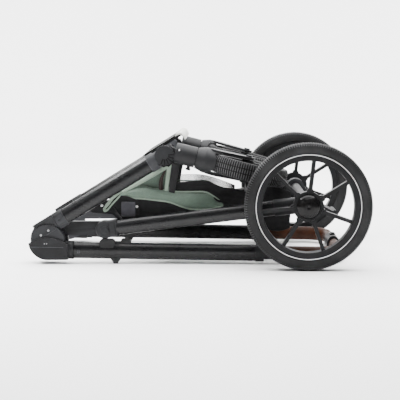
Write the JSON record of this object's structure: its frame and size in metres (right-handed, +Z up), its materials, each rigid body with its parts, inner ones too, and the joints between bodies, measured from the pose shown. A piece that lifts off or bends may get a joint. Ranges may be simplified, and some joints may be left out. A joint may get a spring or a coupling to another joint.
{
  "type": "folded stroller chassis",
  "caption": "Four-wheel stroller chassis, folded flat: oval tube frame, large spoked rear wheels, swivelling front casters, telescoping leather-gripped handle and a fabric shopping basket.",
  "frame": {"origin": "middle of the footprint, on the floor that the folded chassis lies on", "axes": "+X forwards from the fold hinges to the wheels, +Y to the left wheel, +Z up"},
  "size_m": [0.822, 0.611, 0.3135],
  "materials": {
    "frame_black": "satin black powder coat",
    "cast_black": "fine-textured black casting",
    "plastic_dark": "dark grey moulded plastic",
    "rim_black": "satin black moulded rim",
    "cap_gloss": "gloss black",
    "tyre_black": "matt black foam rubber tyre",
    "soft_rubber": "matt black rubber",
    "pad_pale": "pale grey non-slip pad",
    "steel": "zinc-plated steel",
    "grip_leather": "stitched dark brown leatherette",
    "basket_fabric": "sage green woven polyester"
  },
  "bodies": {
    "front_frame": {"front_leg_right": "frame_black", "front_leg_left": "frame_black", "leg_hinge_right": "cast_black", "leg_hinge_left": "cast_black", "fold_pins": "steel", "front_elbow_right": "cast_black", "front_elbow_left": "cast_black", "suspension_pins": "steel", "front_cross_tube": "frame_black", "footboard": "plastic_dark", "footboard_pad": "pad_pale", "rear_pivot_pins": "steel", "basket": "basket_fabric", "frame_screws": "steel"},
    "rear_frame": {"rear_leg_right": "frame_black", "rear_leg_left": "frame_black", "rear_leg_caps": "plastic_dark", "axle_bracket_right": "cast_black", "axle_bracket_left": "cast_black", "rear_axle_tube": "frame_black", "axle_stubs": "steel"},
    "brake": {"brake_bar": "steel", "brake_pedal": "plastic_dark"},
    "handlebar": {"handlebar_hinge_right": "cast_black", "handlebar_hinge_left": "cast_black", "handlebar_tube_right": "frame_black", "handlebar_tube_left": "frame_black", "telescope_collars": "plastic_dark", "stow_tabs": "soft_rubber", "floor_feet": "soft_rubber"},
    "handle": {"handle_tube": "frame_black", "handle_grips": "grip_leather", "button_housing": "plastic_dark"},
    "button": {"handle_button": "cap_gloss"},
    "suspension_right": {"swivel_housing_right": "plastic_dark", "caster_boot_right": "soft_rubber"},
    "lock_right": {"swivel_lock_right": "plastic_dark"},
    "fork_right": {"front_fork_right": "plastic_dark", "swivel_stem_right": "steel", "front_axle_right": "steel"},
    "front_wheel_right": {"front_tyre_right": "tyre_black", "front_rim_right": "rim_black", "front_bearings_right": "steel"},
    "rear_wheel_right": {"rear_tyre_right": "tyre_black", "rear_rim_right": "rim_black", "rear_bearings_right": "steel", "hub_cap_right": "cap_gloss"},
    "suspension_left": {"swivel_housing_left": "plastic_dark", "caster_boot_left": "soft_rubber"},
    "lock_left": {"swivel_lock_left": "plastic_dark"},
    "fork_left": {"front_fork_left": "plastic_dark", "swivel_stem_left": "steel", "front_axle_left": "steel"},
    "front_wheel_left": {"front_tyre_left": "tyre_black", "front_rim_left": "rim_black", "front_bearings_left": "steel"},
    "rear_wheel_left": {"rear_tyre_left": "tyre_black", "rear_rim_left": "rim_black", "rear_bearings_left": "steel", "hub_cap_left": "cap_gloss"}
  },
  "joints": [
    {"name": "fold", "type": "hinge", "parent": "front_frame", "child": "handlebar", "pos_m": [-0.3645, 0, 0.056], "axis": [0, 1, 0], "range_deg": [0, 146]},
    {"name": "rear_fold", "type": "hinge", "parent": "front_frame", "child": "rear_frame", "pos_m": [-0.225, 0, 0.084], "axis": [0, 1, 0], "range_deg": [0, 81.1]},
    {"name": "telescope", "type": "slide", "parent": "handlebar", "child": "handle", "axis": [0.9999, 0, -0.0126], "range_m": [0, 0.1]},
    {"name": "button_press", "type": "slide", "parent": "handle", "child": "button", "axis": [-0.0126, 0, -0.9999], "range_m": [0, 0.003], "stiffness_N_per_m": 300, "springref_m": -0.003},
    {"name": "brake_press", "type": "hinge", "parent": "rear_frame", "child": "brake", "pos_m": [0.29129, 0, 0.13456], "axis": [0, -1, 0], "range_deg": [0, 18]},
    {"name": "suspension_right", "type": "hinge", "parent": "front_frame", "child": "suspension_right", "pos_m": [-0.07927, -0.19, 0.2647], "axis": [0, -1, 0], "range_deg": [0, 8], "stiffness_Nm_per_rad": 150, "springref_deg": -1.72},
    {"name": "lock_right", "type": "slide", "parent": "suspension_right", "child": "lock_right", "axis": [-0.2419, 0, -0.9703], "range_m": [0, 0.005], "stiffness_N_per_m": 300, "springref_m": -0.003},
    {"name": "swivel_right", "type": "hinge", "parent": "suspension_right", "child": "fork_right", "pos_m": [-0.05, -0.19, 0.2695], "axis": [0.9703, 0, -0.2419], "range_deg": [0, 90]},
    {"name": "front_spin_right", "type": "hinge", "parent": "fork_right", "child": "front_wheel_right", "pos_m": [0.11747, -0.146, 0.22774], "axis": [0.2419, 0, 0.9703], "continuous": true},
    {"name": "rear_spin_right", "type": "hinge", "parent": "rear_frame", "child": "rear_wheel_right", "pos_m": [0.261, -0.28, 0.15], "axis": [0, 1, 0], "continuous": true},
    {"name": "suspension_left", "type": "hinge", "parent": "front_frame", "child": "suspension_left", "pos_m": [-0.07927, 0.19, 0.2647], "axis": [0, -1, 0], "range_deg": [0, 8], "stiffness_Nm_per_rad": 150, "springref_deg": -1.72},
    {"name": "lock_left", "type": "slide", "parent": "suspension_left", "child": "lock_left", "axis": [-0.2419, 0, -0.9703], "range_m": [0, 0.005], "stiffness_N_per_m": 300, "springref_m": -0.003},
    {"name": "swivel_left", "type": "hinge", "parent": "suspension_left", "child": "fork_left", "pos_m": [-0.05, 0.19, 0.2695], "axis": [-0.9703, 0, 0.2419], "range_deg": [0, 90]},
    {"name": "front_spin_left", "type": "hinge", "parent": "fork_left", "child": "front_wheel_left", "pos_m": [0.11747, 0.146, 0.22774], "axis": [0.2419, 0, 0.9703], "continuous": true},
    {"name": "rear_spin_left", "type": "hinge", "parent": "rear_frame", "child": "rear_wheel_left", "pos_m": [0.261, 0.28, 0.15], "axis": [0, 1, 0], "continuous": true}
  ],
  "couplings": [
    {"joint": "rear_fold", "follows": "fold", "ratio": 0.555}
  ]
}
